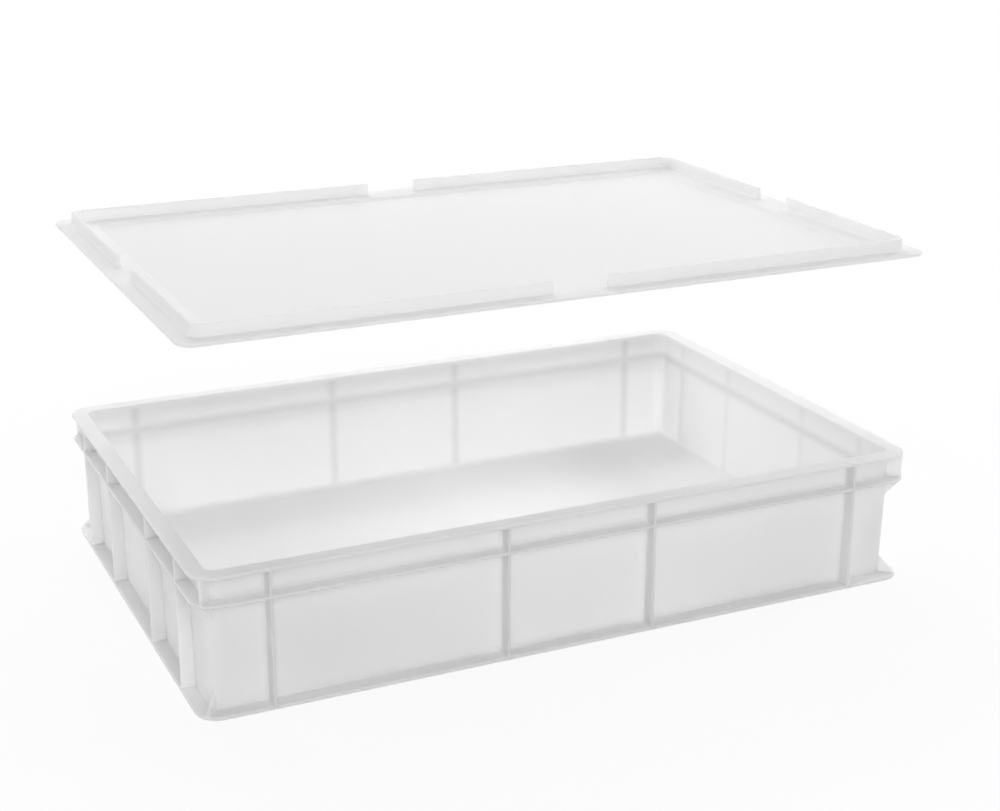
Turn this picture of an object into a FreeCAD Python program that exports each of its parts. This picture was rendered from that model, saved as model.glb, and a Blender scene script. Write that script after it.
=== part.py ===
import FreeCAD, Part
import os

# Outline shared by the box's flanges and the lid
tray_length = 600.0
tray_width = 400.0
box_height = 110.0
flange_corner_radius = 18.0

# Flanges at the rim and the base, with the stacking rib between them
flange_thickness = 3.0
stacking_rib_thickness = 2.5
flange_edge_radius = 1.0
collar_height = 24.0  # rim top down to the stacking rib's underside

# Wall and floor of the box
wall_thickness = 2.8
wall_inset = 10.2  # flange edge to the wall's outer face, at the rim
wall_draft = 1.3  # how much further in the wall stands at the base
wall_corner_radius = 12.0  # outer face of the wall, in plan
floor_thickness = 3.0
floor_fillet_radius = 8.0

# Upright ribs and corner gussets
rib_thickness = 2.5
rib_set_back = 0.4  # rib edge behind the flange edge
rib_corner_distance = 55.0  # end of a flange to the nearest upright rib
rib_middle_gap = 123.0  # between the two ribs in the middle of each side
gusset_thickness = 2.5
gusset_height = 14.0

# Lid plate: a flange round a sunken panel
lid_thickness = 2.5
lid_corner_radius = 12.0
lid_edge_radius = 1.0
lid_lift = 165.0  # how far the lid is held above its seat on the rim
panel_inset = 28.0  # lid edge to the top of the slope down to the panel
panel_drop = 2.5
panel_corner_radius = 5.0

# Stacking ridge on the lid
ridge_inset = 12.0
ridge_corner_radius = 8.5
ridge_thickness = 3.5
ridge_height = 10.0
ridge_edge_radius = 1.0
ridge_gap = 44.0  # opening in the middle of each side
ridge_web_leg = 9.0  # web across the inside of each ridge corner
ridge_web_depth = 5.5

# Locating lip under the lid
lip_clearance = 1.0  # lip to the box's inner face, each side
lip_thickness = 2.5
lip_depth = 4.0

# Cuts start and end this far outside what they cut
overrun = 5.0
same_level = 0.001
quarter_turn = 90.0
diagonal = 2 ** 0.5  # of a square, to its side
up = FreeCAD.Vector(0, 0, 1)

# Levels worked out from the sizes above
stacking_rib_low = box_height - collar_height
rim_low = box_height - flange_thickness
lid_seat = box_height + lid_lift
lid_top = lid_seat + lid_thickness
ridge_top = lid_top + ridge_height
panel_top = lid_top - panel_drop
opening_inset = wall_inset + wall_thickness
opening_radius = wall_corner_radius - wall_thickness


# Rounded rectangle at a level, a stated distance in from the flange edge
def outline(inset, level, radius):
    reach_x = tray_length / 2 - inset - radius
    reach_y = tray_width / 2 - inset - radius
    centres = [(reach_x, reach_y), (-reach_x, reach_y), (-reach_x, -reach_y), (reach_x, -reach_y)]
    arcs = []
    for quarter, (x, y) in enumerate(centres):
        start = quarter * quarter_turn
        centre = FreeCAD.Vector(x, y, level)
        arcs.append(Part.makeCircle(radius, centre, up, start, start + quarter_turn))
    edges = []
    for arc, following in zip(arcs, arcs[1:] + arcs[:1]):
        edges.append(arc)
        end = arc.valueAt(arc.LastParameter)
        edges.append(Part.makeLine(end, following.valueAt(following.FirstParameter)))
    return Part.Wire(edges)


def slab(inset, low, high, radius):
    return Part.Face(outline(inset, low, radius)).extrude(up * (high - low))


def tapered(low_inset, low, high_inset, high, radius):
    ends = [outline(low_inset, low, radius), outline(high_inset, high, radius)]
    return Part.makeLoft(ends, True, True)


def edges_at(shape, level):
    found = []
    for edge in shape.Edges:
        box = edge.BoundBox
        if box.ZMin > level - same_level and box.ZMax < level + same_level:
            found.append(edge)
    return found


# Full plate with the flange outline and rounded edges
def rounded_slab(low, thickness, corner, edge_radius):
    plate = slab(0, low, low + thickness, corner)
    rims = edges_at(plate, low) + edges_at(plate, low + thickness)
    return plate.makeFillet(edge_radius, rims)


def centred_box(size_x, size_y, low, high, x=0, y=0):
    corner = FreeCAD.Vector(x - size_x / 2, y - size_y / 2, low)
    return Part.makeBox(size_x, size_y, high - low, corner)


def prism(points, sweep):
    vectors = [FreeCAD.Vector(*point) for point in points]
    return Part.Face(Part.makePolygon(vectors + vectors[:1])).extrude(sweep)


# Copies a corner piece, made along +X from the flange's corner centre, to all four corners
def at_corners(piece):
    reach_x = tray_length / 2 - flange_corner_radius
    reach_y = tray_width / 2 - flange_corner_radius
    copies = []
    for quarter, (x, y) in enumerate([(1, 1), (-1, 1), (-1, -1), (1, -1)]):
        copy = piece.copy()
        turn = quarter_turn / 2 + quarter * quarter_turn
        copy.rotate(FreeCAD.Vector(0, 0, 0), up, turn)
        copy.translate(FreeCAD.Vector(x * reach_x, y * reach_y, 0))
        copies.append(copy)
    return copies


# Each rib plate runs right across the box, and the hollow cut later leaves its two ends
def upright_ribs():
    low = flange_thickness / 2
    high = box_height - flange_thickness / 2
    length = tray_length - 2 * rib_set_back
    width = tray_width - 2 * rib_set_back
    ribs = []
    for side in (-1, 1):
        for x in (rib_middle_gap / 2, tray_length / 2 - rib_corner_distance):
            ribs.append(centred_box(rib_thickness, width, low, high, x=side * x))
        for y in (rib_middle_gap / 2, tray_width / 2 - rib_corner_distance):
            ribs.append(centred_box(length, rib_thickness, low, high, y=side * y))
    return ribs


# One plate per corner: whole above the stacking rib, a triangle under it and a triangle on the base
def corner_gussets():
    tip = flange_corner_radius - rib_set_back
    wall_centre = wall_inset + wall_draft + wall_corner_radius
    foot = wall_corner_radius - (wall_centre - flange_corner_radius) * diagonal
    side = -gusset_thickness / 2
    upper = [
        (0, side, box_height - flange_thickness / 2),
        (tip, side, box_height - flange_thickness / 2),
        (tip, side, stacking_rib_low),
        (foot, side, stacking_rib_low - gusset_height),
        (0, side, stacking_rib_low - gusset_height),
    ]
    lower = [
        (0, side, flange_thickness + gusset_height),
        (foot, side, flange_thickness + gusset_height),
        (tip, side, flange_thickness),
        (tip, side, flange_thickness / 2),
        (0, side, flange_thickness / 2),
    ]
    sweep = FreeCAD.Vector(0, gusset_thickness, 0)
    return at_corners(prism(upper, sweep)) + at_corners(prism(lower, sweep))


# The hollow: one drafted block, rounded at the floor and run out above the rim
def box_hollow():
    height = box_height - floor_thickness
    low_inset = opening_inset + wall_draft
    high_inset = opening_inset - wall_draft * overrun / height
    hollow = tapered(low_inset, floor_thickness, high_inset, box_height + overrun, opening_radius)
    return hollow.makeFillet(floor_fillet_radius, edges_at(hollow, floor_thickness))


def make_box():
    body = tapered(wall_inset + wall_draft, 0, wall_inset, box_height - flange_thickness / 2, wall_corner_radius)
    flanges = []
    for low, thickness in (
        (0, flange_thickness), (stacking_rib_low, stacking_rib_thickness), (rim_low, flange_thickness),
    ):
        flanges.append(rounded_slab(low, thickness, flange_corner_radius, flange_edge_radius))
    body = body.fuse(flanges + upright_ribs() + corner_gussets())
    return body.cut(box_hollow()).removeSplitter()


# Ridge with rounded top edges, opened in the middle of every side
def stacking_ridge():
    inner_radius = ridge_corner_radius - ridge_thickness
    ridge = slab(ridge_inset, lid_seat + lid_thickness / 2, ridge_top, ridge_corner_radius)
    ridge = ridge.cut(slab(ridge_inset + ridge_thickness, lid_seat, ridge_top + overrun, inner_radius))
    ridge = ridge.makeFillet(ridge_edge_radius, edges_at(ridge, ridge_top))
    across = centred_box(ridge_gap, tray_width, lid_top, ridge_top + overrun)
    along = centred_box(tray_length, ridge_gap, lid_top, ridge_top + overrun)
    return ridge.cut([across, along])


# Three-cornered web in the upper half of each ridge corner
def ridge_webs():
    x = tray_length / 2 - ridge_inset - ridge_thickness
    y = tray_width / 2 - ridge_inset - ridge_thickness
    bury = ridge_thickness / 2
    low = ridge_top - ridge_edge_radius - ridge_web_depth
    corner = [(x, y), (x + bury, y - ridge_web_leg), (x - ridge_web_leg, y + bury)]
    webs = []
    for side_x in (-1, 1):
        for side_y in (-1, 1):
            points = [(side_x * px, side_y * py, low) for px, py in corner]
            webs.append(prism(points, up * ridge_web_depth))
    return webs


def locating_lip():
    inset = opening_inset + lip_clearance
    radius = opening_radius - lip_clearance
    low = lid_seat - lip_depth
    lip = slab(inset, low, lid_seat + lid_thickness / 2, radius)
    return lip.cut(slab(inset + lip_thickness, low - overrun, lid_top, radius - lip_thickness))


def make_lid():
    plate = rounded_slab(lid_seat, lid_thickness, lid_corner_radius, lid_edge_radius)
    radius = panel_corner_radius
    plate = plate.fuse(slab(panel_inset - lid_thickness, panel_top - lid_thickness, panel_top, radius))
    recess = tapered(panel_inset + panel_drop, panel_top, panel_inset - overrun, lid_top + overrun, radius)
    plate = plate.cut(recess)
    return plate.fuse([stacking_ridge(), locating_lip()] + ridge_webs()).removeSplitter()


os.makedirs("parts", exist_ok=True)
for name, shape in (("box", make_box()), ("lid", make_lid())):
    shape.exportStep("parts/" + name + ".step")
    print(name, "solids", len(shape.Solids), "valid", shape.isValid(), "volume", round(shape.Volume))
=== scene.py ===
import math
import bmesh
import bpy
import numpy as np
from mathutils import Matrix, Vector


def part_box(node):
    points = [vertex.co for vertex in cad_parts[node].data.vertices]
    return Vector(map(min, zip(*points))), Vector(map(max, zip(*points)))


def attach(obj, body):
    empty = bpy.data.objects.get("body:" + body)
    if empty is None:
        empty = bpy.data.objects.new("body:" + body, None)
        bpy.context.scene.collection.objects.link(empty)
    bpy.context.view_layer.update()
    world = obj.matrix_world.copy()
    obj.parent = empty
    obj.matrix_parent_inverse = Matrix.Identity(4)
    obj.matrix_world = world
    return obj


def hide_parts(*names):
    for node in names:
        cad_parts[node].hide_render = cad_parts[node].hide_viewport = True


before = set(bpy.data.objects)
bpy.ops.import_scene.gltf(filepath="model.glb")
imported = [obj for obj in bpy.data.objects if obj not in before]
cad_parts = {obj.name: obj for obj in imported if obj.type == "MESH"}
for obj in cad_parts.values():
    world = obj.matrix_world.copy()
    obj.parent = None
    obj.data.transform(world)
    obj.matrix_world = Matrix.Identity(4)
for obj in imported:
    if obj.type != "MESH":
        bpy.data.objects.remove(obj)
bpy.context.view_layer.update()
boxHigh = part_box("box")[1]
lidLow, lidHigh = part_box("lid")
mm = 0.001  # box and lid are worked out in millimetres, everything else is in metres
print("frame loaded")

meshValues = {
    "mergeDistance": 2e-6, "sliverDistance": 1e-6, "sharpDegrees": 50,
    "middleShares": (0.02, 0.35, 0.7),  # rings on a flat face near its middle, as shares of its outer ring
}


# places from one stop to the next, evenly spread, with the last stop left out
def between(start, stop, step):
    count = max(1, math.ceil(abs(stop - start) / step))
    return np.linspace(start, stop, count, endpoint=False)


# lists of equal length stacked into one array, where a single number is repeated all along
def spread(*values):
    return np.stack(np.broadcast_arrays(*[np.atleast_1d(value) for value in values]))


# quarter circle given as sines and cosines of evenly spread angles
def quarterArc(steps):
    turn = np.linspace(0, math.pi / 2, steps + 1)
    return np.sin(turn), np.cos(turn)


# rounding of a profile's corner on the way from a level face to an upright one: the quarter circle starts
# one radius beside the corner and ends one radius above or below it, each radius signed by its side
def leaveLevel(arc, inset, z, beside, above):
    sine, cosine = arc
    return inset + beside * (1 - sine), z + above * (1 - cosine)


# the same on the way from an upright face to a level one
def meetLevel(arc, inset, z, beside, above):
    sine, cosine = arc
    return inset + beside * (1 - cosine), z + above * (1 - sine)


# where the columns of a quarter stand in plan, at a distance in from the outline; on a side, columns keep
# their place up to a stated one, and those past it share what is left before the corner; the corner is an
# arc, on which columns near the diagonal keep their distance from it, and the others share the rest of the
# turn
def planPlaces(ring, inset, radius):
    zone, place, reach = ring["zone"], ring["place"], ring["reach"]
    sides, corners, straights = [], [], []
    for half, keep, end in zip(ring["half"], ring["keep"], ring["end"]):
        corner = half - inset - radius
        slide = (corner - keep) / (end - keep)
        sides.append(half - inset)
        corners.append(corner)
        straights.append(np.minimum(place, keep) + np.maximum(place - keep, 0) * slide)
    edge = np.arcsin(np.clip(reach / radius, -1, 1))
    near = np.arcsin(np.clip(place * reach / radius, -1, 1))
    far = np.sign(place) * (edge + (np.abs(place) - 1) * (math.pi / 4 - edge))
    angle = math.pi / 4 + np.where(np.abs(place) <= 1, near, far)
    onSideX, onCorner = zone == 0, zone == 1
    x = np.select([onSideX, onCorner], [sides[0], corners[0] + radius * np.cos(angle)], straights[0])
    y = np.select([onSideX, onCorner], [straights[1], corners[1] + radius * np.sin(angle)], sides[1])
    return x, y


# mirrors a quarter of columns to a whole ring, each shared column taken once
def allRound(x, y, z):
    whole = []
    for values, signs in ((x, (1, -1, -1, 1)), (y, (1, 1, -1, -1)), (z, (1, 1, 1, 1))):
        quarters = values, values[:, -2::-1], values[:, 1:], values[:, -2:0:-1]
        whole.append(np.hstack([sign * quarter for sign, quarter in zip(signs, quarters)]))
    return whole


# closed skin over a grid: rows run from the middle of the underside round to the middle of the top
def gridPiece(name, x, y, z):
    rows, cols = x.shape
    points = np.stack([x, y, z], axis=-1).reshape(-1, 3) * mm
    row, col = np.meshgrid(np.arange(rows - 1) * cols, np.arange(cols), indexing="ij")
    after = (col + 1) % cols
    quads = np.stack([row + col, row + after, row + cols + after, row + cols + col], axis=-1).reshape(-1, 4)
    caps = [list(range(cols - 1, -1, -1)), list(range((rows - 1) * cols, rows * cols))]
    mesh = bpy.data.meshes.new(name)
    mesh.from_pydata(points.tolist(), [], quads.tolist() + caps)
    shell = bmesh.new()
    shell.from_mesh(mesh)
    bmesh.ops.remove_doubles(shell, verts=shell.verts, dist=meshValues["mergeDistance"])
    bmesh.ops.dissolve_degenerate(shell, edges=shell.edges, dist=meshValues["sliverDistance"])
    shell.to_mesh(mesh)
    shell.free()
    mesh.polygons.foreach_set("use_smooth", np.ones(len(mesh.polygons), bool))
    mesh.set_sharp_from_angle(angle=math.radians(meshValues["sharpDegrees"]))
    piece = bpy.data.objects.new(name, mesh)
    bpy.context.scene.collection.objects.link(piece)
    even = piece.modifiers.new("evenNormals", "WEIGHTED_NORMAL")
    even.keep_sharp = True
    print(name, len(mesh.vertices), "points", len(mesh.polygons), "faces")
    return piece


boxValues = {
    "flange": 3.0, "flangeRound": 1.0, "cornerRadius": 18.0,
    "stackingRib": 86.0, "stackingThickness": 2.5,  # underside and thickness of the middle flange
    "wallInset": 10.2, "wallDraft": 1.3, "wallThickness": 2.8, "wallCorner": 12.0,
    "rimRound": 0.9, "floor": 3.0, "floorRound": 8.0, "floorCorner": 4.0,
    "ribThickness": 2.5, "ribBack": 0.4, "ribRound": 0.6, "footRound": 0.9, "footGap": 0.06,
    "ribFromEnd": 55.0, "ribFromMiddle": 61.5, "gussetHeight": 14.0, "gussetFade": 0.3,
    # how far in the rings on the underside and on the floor lie
    "flatInset": 40.0, "underInset": 12.0, "floorInset": 30.0,
    # spacing of columns along a side and past its last rib; how far past a rib the first plain column
    # stands, and how far columns keep their place
    "columnStep": 16.0, "endColumnStep": 5.0, "besideRib": 0.8, "keepPastRib": 1.0,
    # steps of the round parts, and rows on the flat ones
    "ribSteps": 3, "cornerSteps": 6, "edgeSteps": 4, "floorSteps": 9,
    "gussetRows": 5, "gussetRowGap": 0.4, "wallRows": 6, "collarRows": 5, "rimRows": 4, "insideRows": 10,
}


# section of a rib seen from above: flat tip with rounded edge, then the side, then a hollow at its foot,
# and the same mirrored; each column has its offset from the rib's middle, how far it lies behind the tip,
# how far before the wall, and one where it is on the tip
def ribSection(box):
    sine, cosine = quarterArc(box["ribSteps"])
    half, tipRound, footRound = box["ribThickness"] / 2, box["ribRound"], box["footRound"]
    tip = spread(np.r_[0, half - tipRound + tipRound * sine], np.r_[0, tipRound * (1 - cosine)], 0, 1)
    foot = spread(half + box["footGap"] + footRound * (1 - cosine), 0, footRound * (1 - sine), 0)
    section = np.hstack([tip, foot])
    mirrored = section[:, :0:-1] * [[-1], [1], [1], [1]]
    return np.hstack([mirrored, section])


# columns of half a side, from its middle to the start of the corner, with a rib's section at each of its
# two ribs
def halfBoxSide(box, half):
    offset, *rest = ribSection(box)
    reach = offset[-1]
    parts = []
    start = 0
    for place in (box["ribFromMiddle"], half - box["ribFromEnd"]):
        parts.append(spread(between(start, place - reach, box["columnStep"]), 0, 0, 0))
        parts.append(np.stack([place + offset, *rest]))
        start = place + reach + box["besideRib"]
    parts.append(spread(between(start, half - box["cornerRadius"], box["endColumnStep"]), 0, 0, 0))
    return np.hstack(parts)


# the box's profile from the middle of its underside, up the outside, over the rim and down to the middle of
# its floor; each row has its inset, its height, the insets of a rib's and a gusset's tip there, the share
# of the hollow at a rib's foot, and the share by which its ring shrinks to the middle
def boxProfile(box, top):
    arc = quarterArc(box["edgeSteps"])
    edge, hollow, flange, tipBack = box["flangeRound"], box["footRound"], box["flange"], box["ribBack"]
    floor, floorRound, rimRound = box["floor"], box["floorRound"], box["rimRound"]
    ribLow, ribHigh, rimLow = box["stackingRib"], box["stackingRib"] + box["stackingThickness"], top - flange
    gussetHigh, gussetLow = flange + box["gussetHeight"], ribLow - box["gussetHeight"]
    noTip = 1e3  # further in than any wall, so that no tip stands out
    rows = []

    def add(inset, z, ribTip=noTip, gussetTip=noTip, foot=1.0, shrink=1.0):
        rows.append(spread(inset, z, ribTip, gussetTip, foot, shrink))

    def wallAt(z):  # outer face of the drafted wall
        return box["wallInset"] + box["wallDraft"] * (1 - z / (top - flange / 2))

    def insideAt(z):  # inner face of the wall
        return box["wallInset"] + box["wallThickness"] + box["wallDraft"] * (top - z) / (top - floor)

    def gussetAt(z):  # a gusset's tip leans in from the base flange and out again to the stacking rib
        fade = box["gussetFade"]
        levels = [flange, gussetHigh, gussetHigh + fade, gussetLow - fade, gussetLow, ribLow]
        return np.interp(z, levels, [tipBack, wallAt(gussetHigh), noTip, noTip, wallAt(gussetLow), tipBack])

    def lowerEdge(z, *tips):
        add(*leaveLevel(arc, 0, z, edge, edge), *tips, foot=0)

    def upperEdge(z, *tips):
        add(*meetLevel(arc, 0, z, edge, -edge), *tips, foot=0)

    def wallBetween(low, z, high, gussetTip):  # hollow above a flange, wall, and hollow below the next flange
        inset, foot = leaveLevel(arc, 0, low, -hollow, hollow)
        add(wallAt(foot) + inset, foot, tipBack, gussetTip(foot))
        add(wallAt(z), z, tipBack, gussetTip(z))
        inset, head = meetLevel(arc, 0, high, -hollow, -hollow)
        add(wallAt(head) + inset, head, tipBack, gussetTip(head))

    # underside and base flange
    for share in meshValues["middleShares"]:
        add(box["flatInset"], 0, shrink=share)
    add([box["flatInset"], box["underInset"]], 0)
    lowerEdge(0)
    upperEdge(flange, tipBack, tipBack)
    # wall with its gussets up to the stacking rib
    lowRows = np.linspace(flange + hollow, gussetHigh, box["gussetRows"])[1:]
    plainRows = np.linspace(gussetHigh, gussetLow, box["wallRows"])[1:-1]
    highRows = np.linspace(gussetLow, ribLow - hollow, box["gussetRows"])[:-1]
    apart = box["gussetRowGap"]
    wallRows = np.r_[lowRows, gussetHigh + apart, plainRows, gussetLow - apart, highRows]
    wallBetween(flange, wallRows, ribLow, gussetAt)
    lowerEdge(ribLow, tipBack, tipBack)
    upperEdge(ribHigh, tipBack, tipBack)
    # collar up to the top flange, where a rib stands at the corner too
    collarRows = np.linspace(ribHigh + hollow, rimLow - hollow, box["collarRows"])[1:-1]
    wallBetween(ribHigh, collarRows, rimLow, lambda z: tipBack)
    lowerEdge(rimLow, tipBack, tipBack)
    upperEdge(top)
    # over the rim, down the inside, round its foot and out on the floor
    rim = insideAt(top)
    add(np.linspace(edge, rim - rimRound, box["rimRows"])[1:-1], top)
    add(*leaveLevel(arc, rim, top, -rimRound, -rimRound))
    insideRows = np.linspace(top - rimRound, floor + floorRound, box["insideRows"])[1:]
    add(insideAt(insideRows), insideRows)
    floorArc = [values[1:] for values in quarterArc(box["floorSteps"])]
    add(*meetLevel(floorArc, insideAt(floor + floorRound), floor, floorRound, floorRound))
    add([box["floorInset"], box["flatInset"]], floor)
    for share in meshValues["middleShares"][::-1]:
        add(box["flatInset"], floor, shrink=share)
    return np.hstack(rows)[:, :, None]


# the box as one skin: its profile is carried round the outline, where ribs and gussets are columns that
# stay out at the flange's edge while the wall goes in
def makeBox(box):
    halfX, halfY, top = (size / mm for size in boxHigh)
    half = np.array([halfX, halfY])
    offset, *rest = ribSection(box)
    reach = offset[-1]
    right, back = halfBoxSide(box, halfY), halfBoxSide(box, halfX)[:, ::-1]
    bend = np.linspace(1, 2, box["cornerSteps"] + 1)[1:]
    gusset = np.stack([offset / reach, *rest])
    corner = np.hstack([spread(-bend[::-1], 0, 0, 0), gusset, spread(bend, 0, 0, 0)])
    place, behind, before, onTip = np.hstack([right, corner, back])
    zone = np.repeat([0, 1, 2], [right.shape[1], corner.shape[1], back.shape[1]])
    ring = {
        "zone": zone, "place": place, "reach": reach, "half": half, "end": half - box["cornerRadius"],
        "keep": half - box["ribFromEnd"] + reach + box["keepPastRib"],
    }

    inset, z, ribTip, gussetTip, foot, shrink = boxProfile(box, top)
    tip = np.minimum(np.where(zone == 1, gussetTip, ribTip), inset)
    inset = np.where(onTip > 0, np.minimum(tip + behind, inset), np.maximum(inset - before * foot, tip))
    # corners turn on the flange's radius, then on the wall's outer and inner one, then on the floor's
    draft, thickness, wallCorner = box["wallDraft"], box["wallThickness"], box["wallCorner"]
    stops = np.cumsum([0, box["wallInset"], draft, thickness - draft, draft, box["floorRound"]])
    inner = wallCorner - thickness
    turns = [box["cornerRadius"], wallCorner, wallCorner, inner, inner, box["floorCorner"]]
    x, y = planPlaces(ring, inset, np.interp(inset, stops, turns))
    return gridPiece("boxMoulding", *allRound(x * shrink, y * shrink, z + inset * 0))


lidValues = {
    "thickness": 2.5, "edgeRound": 1.0, "cornerRadius": 12.0,
    "lipDepth": 4.0, "lipInset": 14.0, "lipThickness": 2.5, "lipCorner": 8.2, "underRound": 0.6,
    "ridgeInset": 12.0, "ridgeThickness": 3.5, "ridgeCorner": 8.5, "ridgeRound": 1.1, "ridgeDraft": 0.25,
    "footRound": 1.2, "webLeg": 7.25, "webDepth": 6.5,
    "panelInset": 28.0, "panelDrop": 2.5, "panelCorner": 5.0,
    # the ridge's end beside the gap: places along the side, and the share of the ridge's height at each
    "gap": 44.0, "endPlaces": (-4.0, -1.0, -0.12, 0.0, 0.07, 0.35, 0.9, 2.0),
    "endHeights": (0.0, 0.0, 0.015, 0.05, 0.9, 0.97, 0.995, 1.0),
    # rows on the web and below it: the share of the ridge's draft at each, and its height from the web's
    # underside
    "webDrafts": (0.8, 0.6), "webHeights": (0.6, 0.0),
    "belowDrafts": (0.5, 0.3), "belowHeights": (-0.02, -0.8),
    # the soft bend at the top of the slope down to the panel, which the bend at its bottom repeats upside
    # down
    "bendPlaces": (-0.8, -0.2, 0.4), "bendDrops": (0.0, 0.06, 0.45),
    # how far in the rings on the flat faces lie
    "flatInset": 45.0, "underInset": 32.0, "seatInsets": (9.0, 4.0), "rimInsets": (4.0, 8.0),
    "ledgeInsets": (20.0, 24.0), "panelRing": 36.0,
    # spacing of columns in the gap and on the rest of a side, how near the ridge's end they come, and how
    # far past it columns keep their place
    "gapStep": 6.0, "sideStep": 9.0, "endZone": 5.0, "keepPastGap": 20.0,
    # how far from the diagonal the middle half of a corner's columns reaches, and steps of the round parts
    "cornerReach": 2.0, "cornerSteps": 20, "edgeSteps": 4,
}


# the lid's profile from the middle of its underside, round the lip, the edge and the ridge to the middle of
# its panel; each row has its inset, its height, one where it belongs to the ridge, one where the corner web
# pushes it in, and the share by which its ring shrinks to the middle
def lidProfile(lid, seat, plate, crest):
    arc = quarterArc(lid["edgeSteps"])
    small, edge, hollow, crestRound = lid["underRound"], lid["edgeRound"], lid["footRound"], lid["ridgeRound"]
    rows = []

    def add(inset, z, onRidge=0, web=0, shrink=1.0):
        rows.append(spread(inset, z, onRidge, web, shrink))

    # underside: panel, its slope, lip
    drop, panel = lid["panelDrop"], lid["panelInset"]
    under, slope, foot = seat - drop, panel - lid["thickness"], seat - lid["lipDepth"]
    lipOut, lipIn = lid["lipInset"], lid["lipInset"] + lid["lipThickness"]
    for share in meshValues["middleShares"]:
        add(lid["flatInset"], under, shrink=share)
    add([lid["flatInset"], lid["underInset"]], under)
    add(*leaveLevel(arc, slope, under, small, small))
    add(*meetLevel(arc, slope, seat, -small, -small))
    add(*leaveLevel(arc, lipIn, seat, small, -small))
    add(*meetLevel(arc, lipIn, foot, -small, small))
    add(*leaveLevel(arc, lipOut, foot, small, small))
    add(*meetLevel(arc, lipOut, seat, -small, -small))
    # round the lid's edge
    add(lid["seatInsets"], seat)
    add(*leaveLevel(arc, 0, seat, edge, edge))
    add(*meetLevel(arc, 0, plate, edge, -edge))
    add(lid["rimInsets"], plate)
    # ridge: hollow foot, drafted side, rounded crest, then the corner web inside it
    draft, webLow = lid["ridgeDraft"], crest - lid["webDepth"]
    outside, inside = lid["ridgeInset"], lid["ridgeInset"] + lid["ridgeThickness"]
    add(*leaveLevel(arc, outside, plate, -hollow, hollow), onRidge=1)
    add(outside + draft / 2, (plate + crest) / 2, onRidge=1)
    add(*meetLevel(arc, outside + draft, crest, crestRound, -crestRound), onRidge=1)
    add(*leaveLevel(arc, inside - draft, crest, -crestRound, -crestRound), onRidge=1, web=1)
    add(inside - draft * np.array(lid["webDrafts"]), webLow + np.array(lid["webHeights"]), onRidge=1, web=1)
    add(inside - draft * np.array(lid["belowDrafts"]), webLow + np.array(lid["belowHeights"]), onRidge=1)
    add(*meetLevel(arc, inside, plate, hollow, hollow), onRidge=1)
    # ledge, soft slope down and the panel
    bendPlaces, bendDrops = np.array(lid["bendPlaces"]), np.array(lid["bendDrops"])
    add(lid["ledgeInsets"], plate)
    add(panel + bendPlaces, plate - bendDrops)
    add(panel + drop - bendPlaces[::-1], plate - drop + bendDrops[::-1])
    add([lid["panelRing"], lid["flatInset"]], plate - drop)
    for share in meshValues["middleShares"][::-1]:
        add(lid["flatInset"], plate - drop, shrink=share)
    return np.hstack(rows)[:, :, None]


# columns of half a side, from the gap's middle to the start of the corner, and the share of the ridge's
# height at each
def halfLidSide(lid, half):
    gapEnd, zone = lid["gap"] / 2, lid["endZone"]
    inGap = between(0, gapEnd - zone, lid["gapStep"])
    ridgeEnd = gapEnd + np.array(lid["endPlaces"])
    rest = between(gapEnd + zone, half - lid["cornerRadius"], lid["sideStep"])
    return np.hstack([spread(inGap, 0), np.stack([ridgeEnd, lid["endHeights"]]), spread(rest, 1)])


# the lid as one skin: its profile is carried round the outline, and the ridge's height is scaled down to
# nothing in the columns of the gap
def makeLid(lid):
    halfX, halfY, crest = (size / mm for size in lidHigh)
    half = np.array([halfX, halfY])
    seat = lidLow.z / mm + lid["lipDepth"]
    plate = seat + lid["thickness"]
    right, back = halfLidSide(lid, halfY), halfLidSide(lid, halfX)[:, ::-1]
    corner = spread(np.linspace(-2, 2, lid["cornerSteps"] + 1), 1)
    place, ridge = np.hstack([right, corner, back])
    keep = lid["gap"] / 2 + lid["keepPastGap"]
    ring = {
        "zone": np.repeat([0, 1, 2], [right.shape[1], corner.shape[1], back.shape[1]]), "place": place,
        "reach": lid["cornerReach"], "half": half, "end": half - lid["cornerRadius"], "keep": (keep, keep),
    }

    inset, z, onRidge, web, shrink = lidProfile(lid, seat, plate, crest)

    def turnsWith(feature):  # corner radius from the lid's edge through the lip or the ridge to the panel
        start, thickness, turn = (lid[feature + part] for part in ("Inset", "Thickness", "Corner"))
        stops = [0, start, start + thickness, lid["panelInset"]]
        return np.interp(inset, stops, [lid["cornerRadius"], turn, turn - thickness, lid["panelCorner"]])

    radius = np.where(z < (seat + plate) / 2, turnsWith("lip"), turnsWith("ridge"))
    x, y = planPlaces(ring, inset, radius)
    # web across each ridge corner: what lies nearer the corner than its line is pushed back along the
    # diagonal
    inside = half - lid["ridgeInset"] - lid["ridgeThickness"]
    push = np.maximum(lid["webLeg"] - (inside[0] - x) - (inside[1] - y), 0) / 2 * web
    z = np.where(onRidge > 0, plate + (z - plate) * ridge, z)
    return gridPiece("lidMoulding", *allRound((x - push) * shrink, (y - push) * shrink, z))


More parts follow.
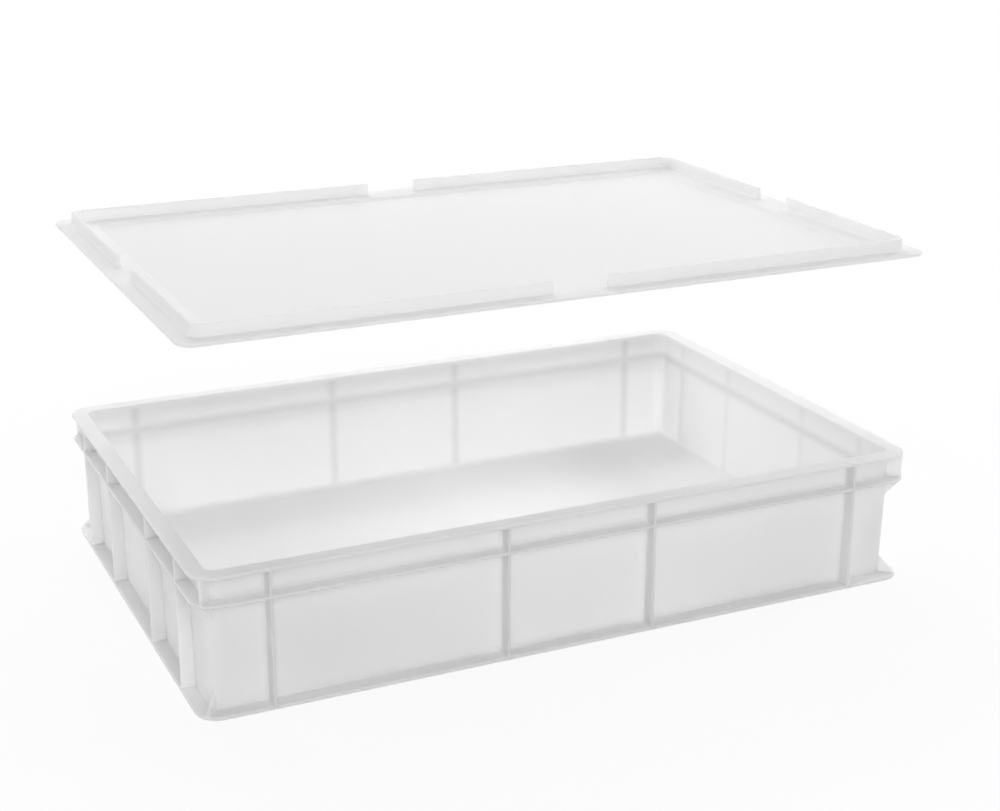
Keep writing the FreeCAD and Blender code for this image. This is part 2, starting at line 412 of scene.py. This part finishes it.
plasticValues = {
    # two heights, the tone at each and how far light wanders in the plastic: for the box from its floor,
    # which lies on white, to its wall, for the lid from its plate to its ridge; the floor and the lid's plate
    # are painted lighter than the wall and the ridge, as painted light
    "box": {"levels": (0.003, 0.006), "paintedLightGreys": (0.97, 0.92), "reaches": (0.001, 0.012)},
    "lid": {"levels": (0.2776, 0.2792), "paintedLightGreys": (0.96, 0.92), "reach": 0.006},
    # where a rib joins the wall and along the stacking rib, the tone is painted darker as painted shade and
    # less light comes through: half its width, the soft edge beside it, what is left of the tone and of the
    # reach, and how much of this holds on the two short sides
    "ribHalf": 0.001, "ribSoft": 0.005, "ribPaintedShadeGrey": 0.88, "ribReach": 0.6, "ribEnds": 0.4,
    "sideFade": 0.002, "topFade": 0.001,  # length over which it starts before the wall, ends below the rim
    "ior": 1.49, "roughness": 0.42, "roughnessSpread": 0.05,
    "grain": 900.0, "grainDetail": 2.0, "grainDepth": 0.00004, "grainStrength": 0.4,
    "cloud": 9.0, "cloudDetail": 3.0, "cloudSpread": 0.015,
}


# a value carried from one range to another
def ranged(tree, value, source, target, smooth=False):
    node = tree.nodes.new("ShaderNodeMapRange")
    if smooth:
        node.interpolation_type = "SMOOTHSTEP"
    for end, low, high in zip(("Min", "Max"), source, target):
        node.inputs["From " + end].default_value = low
        node.inputs["To " + end].default_value = high
    tree.links.new(value, node.inputs["Value"])
    return node.outputs["Result"]


# one step of arithmetic on links or plain numbers
def worked(tree, operation, *values):
    node = tree.nodes.new("ShaderNodeMath")
    node.operation = operation
    for socket, value in zip(node.inputs, values):
        if isinstance(value, (int, float)):
            socket.default_value = value
        else:
            tree.links.new(value, socket)
    return node.outputs[0]


# noise on the piece's own coordinates
def noise(tree, where, scale, detail):
    node = tree.nodes.new("ShaderNodeTexNoise")
    node.inputs["Scale"].default_value = scale
    node.inputs["Detail"].default_value = detail
    tree.links.new(where, node.inputs["Vector"])
    return node.outputs["Fac"]


# mask of painted shade, also shortening the reach: one on the box's ribs, on the wall behind them and along
# the stacking rib, fading to nothing beside them
def ribShade(tree, axes, box, plastic):
    soft = (plastic["ribHalf"], plastic["ribHalf"] + plastic["ribSoft"])
    inset = (box["wallInset"] + box["wallThickness"] + box["wallDraft"]) * mm

    def away(value, place):
        return worked(tree, "ABSOLUTE", worked(tree, "SUBTRACT", value, place))

    alongX, alongY = (worked(tree, "ABSOLUTE", axes.outputs[axis]) for axis in "XY")
    longSides = (alongX, boxHigh.x, alongY, boxHigh.y, 1)
    shortSides = (alongY, boxHigh.y, alongX, boxHigh.x, plastic["ribEnds"])
    shades = []
    for along, half, across, halfAcross, share in (longSides, shortSides):
        ribs = [away(along, place) for place in (box["ribFromMiddle"] * mm, half - box["ribFromEnd"] * mm)]
        near = ranged(tree, worked(tree, "MINIMUM", *ribs), soft, (1, 0))
        inner = halfAcross - inset
        onSide = ranged(tree, across, (inner - plastic["sideFade"], inner), (0, share))
        shades.append(worked(tree, "MULTIPLY", near, onSide))
    rimLow = boxHigh.z - box["flange"] * mm
    below = ranged(tree, axes.outputs["Z"], (rimLow - plastic["topFade"], rimLow), (1, 0))
    upright = worked(tree, "MULTIPLY", worked(tree, "MAXIMUM", *shades), below)
    middle = (box["stackingRib"] + box["stackingThickness"] / 2) * mm
    level = ranged(tree, away(axes.outputs["Z"], middle), soft, (1, 0))
    return worked(tree, "MAXIMUM", upright, level)


# milky polypropylene: light scatters inside, the surface has a fine moulded grain and slow cloudiness; its
# tone carries painted light by height and painted shade at the ribs
def frostedPlastic(name, stops, plastic, ribbed=None):
    material = bpy.data.materials.new(name)
    material.use_nodes = True
    tree = material.node_tree
    shader = tree.nodes["Principled BSDF"]
    shader.inputs["Subsurface Weight"].default_value = 1.0
    shader.inputs["Subsurface Radius"].default_value = (1.0, 1.0, 1.0)
    shader.inputs["IOR"].default_value = plastic["ior"]
    where = tree.nodes.new("ShaderNodeTexCoord").outputs["Object"]
    axes = tree.nodes.new("ShaderNodeSeparateXYZ")
    tree.links.new(where, axes.inputs[0])

    # painted light: the tone is lighter at the floor and the lid's plate than at the wall and the ridge
    grey = ranged(tree, axes.outputs["Z"], stops["levels"], stops["paintedLightGreys"])
    if ribbed:
        shade = ribShade(tree, axes, ribbed, plastic)
        # painted shade: the tone is darkened on the ribs, the wall behind them and along the stacking rib
        grey = worked(tree, "MULTIPLY", grey, ranged(tree, shade, (0, 1), (1, plastic["ribPaintedShadeGrey"])))
        reach = ranged(tree, axes.outputs["Z"], stops["levels"], stops["reaches"])
        reach = worked(tree, "MULTIPLY", reach, ranged(tree, shade, (0, 1), (1, plastic["ribReach"])))
        tree.links.new(reach, shader.inputs["Subsurface Scale"])
    else:
        shader.inputs["Subsurface Scale"].default_value = stops["reach"]
    cloud = noise(tree, where, plastic["cloud"], plastic["cloudDetail"])
    cloudy = ranged(tree, cloud, (0, 1), (1 - plastic["cloudSpread"], 1 + plastic["cloudSpread"]))
    tree.links.new(worked(tree, "MULTIPLY", grey, cloudy), shader.inputs["Base Color"])

    grain = noise(tree, where, plastic["grain"], plastic["grainDetail"])
    rough, roughSpread = plastic["roughness"], plastic["roughnessSpread"]
    uneven = ranged(tree, grain, (0, 1), (rough - roughSpread, rough + roughSpread))
    tree.links.new(uneven, shader.inputs["Roughness"])
    bump = tree.nodes.new("ShaderNodeBump")
    bump.inputs["Strength"].default_value = plastic["grainStrength"]
    bump.inputs["Distance"].default_value = plastic["grainDepth"]
    tree.links.new(grain, bump.inputs["Height"])
    tree.links.new(bump.outputs["Normal"], shader.inputs["Normal"])
    return material


boxPiece = makeBox(boxValues)
boxPiece.data.materials.append(frostedPlastic("frostedBox", plasticValues["box"], plasticValues, boxValues))
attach(boxPiece, "box_body")
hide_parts("box")
lidPiece = makeLid(lidValues)
lidPiece.data.materials.append(frostedPlastic("frostedLid", plasticValues["lid"], plasticValues))
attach(lidPiece, "lid_body")
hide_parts("lid")
print("box and lid made")

stageValues = {
    "floorSize": 14.0, "floorColor": (0.9, 0.9, 0.9, 1), "worldColor": (1, 1, 1, 1), "worldLight": 0.0,
    # how much of the object's shadow shows on the white floor, and between which distances it fades out
    "shadowShare": 0.1, "shadowFrom": 0.3, "shadowTo": 0.75,
}


# one where the camera, a mirror-like surface or a clear one looks
def seenDirectly(tree):
    path = tree.nodes.new("ShaderNodeLightPath")
    first = worked(tree, "MAXIMUM", path.outputs["Is Camera Ray"], path.outputs["Is Glossy Ray"])
    return worked(tree, "MAXIMUM", first, path.outputs["Is Transmission Ray"])


# puts two shaders on an output, the second in the given share
def mixed(tree, share, first, second, out):
    mix = tree.nodes.new("ShaderNodeMixShader")
    for socket, value in zip(mix.inputs, (share, first.outputs[0], second.outputs[0])):
        tree.links.new(value, socket)
    tree.links.new(mix.outputs[0], out.inputs["Surface"])


# flat square that looks white, with part of the object's shadow close to it
def makeFloor(stage):
    corners = np.array([[-1, -1, 0], [1, -1, 0], [1, 1, 0], [-1, 1, 0]]) * stage["floorSize"] / 2
    mesh = bpy.data.meshes.new("floor")
    mesh.from_pydata(corners.tolist(), [], [[0, 1, 2, 3]])
    floor = bpy.data.objects.new("floor", mesh)
    bpy.context.scene.collection.objects.link(floor)
    material = bpy.data.materials.new("paleFloor")
    material.use_nodes = True
    tree = material.node_tree
    tree.nodes.clear()
    out = tree.nodes.new("ShaderNodeOutputMaterial")
    paint = tree.nodes.new("ShaderNodeBsdfDiffuse")
    paint.inputs["Color"].default_value = stage["floorColor"]
    white = tree.nodes.new("ShaderNodeEmission")
    where = tree.nodes.new("ShaderNodeTexCoord")
    away = tree.nodes.new("ShaderNodeVectorMath")
    away.operation = "LENGTH"
    tree.links.new(where.outputs["Object"], away.inputs[0])
    span = (stage["shadowFrom"], stage["shadowTo"])
    fade = ranged(tree, away.outputs["Value"], span, (1 - stage["shadowShare"], 1), smooth=True)
    mixed(tree, worked(tree, "MULTIPLY", seenDirectly(tree), fade), paint, white, out)
    mesh.materials.append(material)
    print("floor made")


# white to look at, with its own strength as a light
def makeWorld(stage):
    world = bpy.data.worlds.new("studio")
    bpy.context.scene.world = world
    world.use_nodes = True
    tree = world.node_tree
    tree.nodes.clear()
    out = tree.nodes.new("ShaderNodeOutputWorld")
    light = tree.nodes.new("ShaderNodeBackground")
    light.inputs["Strength"].default_value = stage["worldLight"]
    seen = tree.nodes.new("ShaderNodeBackground")
    for shader in (light, seen):
        shader.inputs["Color"].default_value = stage["worldColor"]
    mixed(tree, seenDirectly(tree), light, seen, out)
    print("world made")


makeFloor(stageValues)
makeWorld(stageValues)

lampTarget = (0, 0, 0.15)
lampValues = {
    "overhead": {"place": (0.2, 0.8, 2.4), "size": 2.0, "watts": 10},
    "behind": {"place": (0.2, 2.2, 1.8), "size": 2.0, "watts": 42},
    "right": {"place": (2.3, 0.3, 1.35), "size": 1.6, "watts": 34},
    "left": {"place": (-2.4, 0.8, 0.8), "size": 1.6, "watts": 22},
    "front": {"place": (-0.58, -2.35, 1.35), "size": 1.3, "watts": 35},
}


# square soft lamps, turned to the object and not mirrored in it
def makeLamps(lamps):
    for name, values in lamps.items():
        data = bpy.data.lights.new(name, "AREA")
        data.shape = "SQUARE"
        data.size = values["size"]
        data.energy = values["watts"]
        lamp = bpy.data.objects.new(name, data)
        lamp.location = values["place"]
        lamp.rotation_mode = "QUATERNION"
        lamp.rotation_quaternion = (Vector(lampTarget) - lamp.location).to_track_quat("-Z", "Y")
        lamp.visible_glossy = False
        bpy.context.scene.collection.objects.link(lamp)
    print("lamps made")


makeLamps(lampValues)

cameraValues = {
    "place": (-0.5777, -1.2982, 0.6163), "azimuth": -24.82, "elevation": 18.82, "lens": 64.40, "sensor": 36.0,
}


# looks along a turn about the upright axis and a tilt down
def makeCamera(view):
    data = bpy.data.cameras.new("camera")
    data.lens = view["lens"]
    data.sensor_width = view["sensor"]
    camera = bpy.data.objects.new("camera", data)
    camera.location = view["place"]
    turn, tilt = math.radians(view["azimuth"]), math.radians(view["elevation"])
    ahead = Vector((-math.sin(turn) * math.cos(tilt), math.cos(turn) * math.cos(tilt), -math.sin(tilt)))
    camera.rotation_mode = "QUATERNION"
    camera.rotation_quaternion = ahead.to_track_quat("-Z", "Y")
    bpy.context.scene.collection.objects.link(camera)
    bpy.context.scene.camera = camera
    bpy.context.scene.view_settings.view_transform = "Standard"
    print("camera made")


makeCamera(cameraValues)
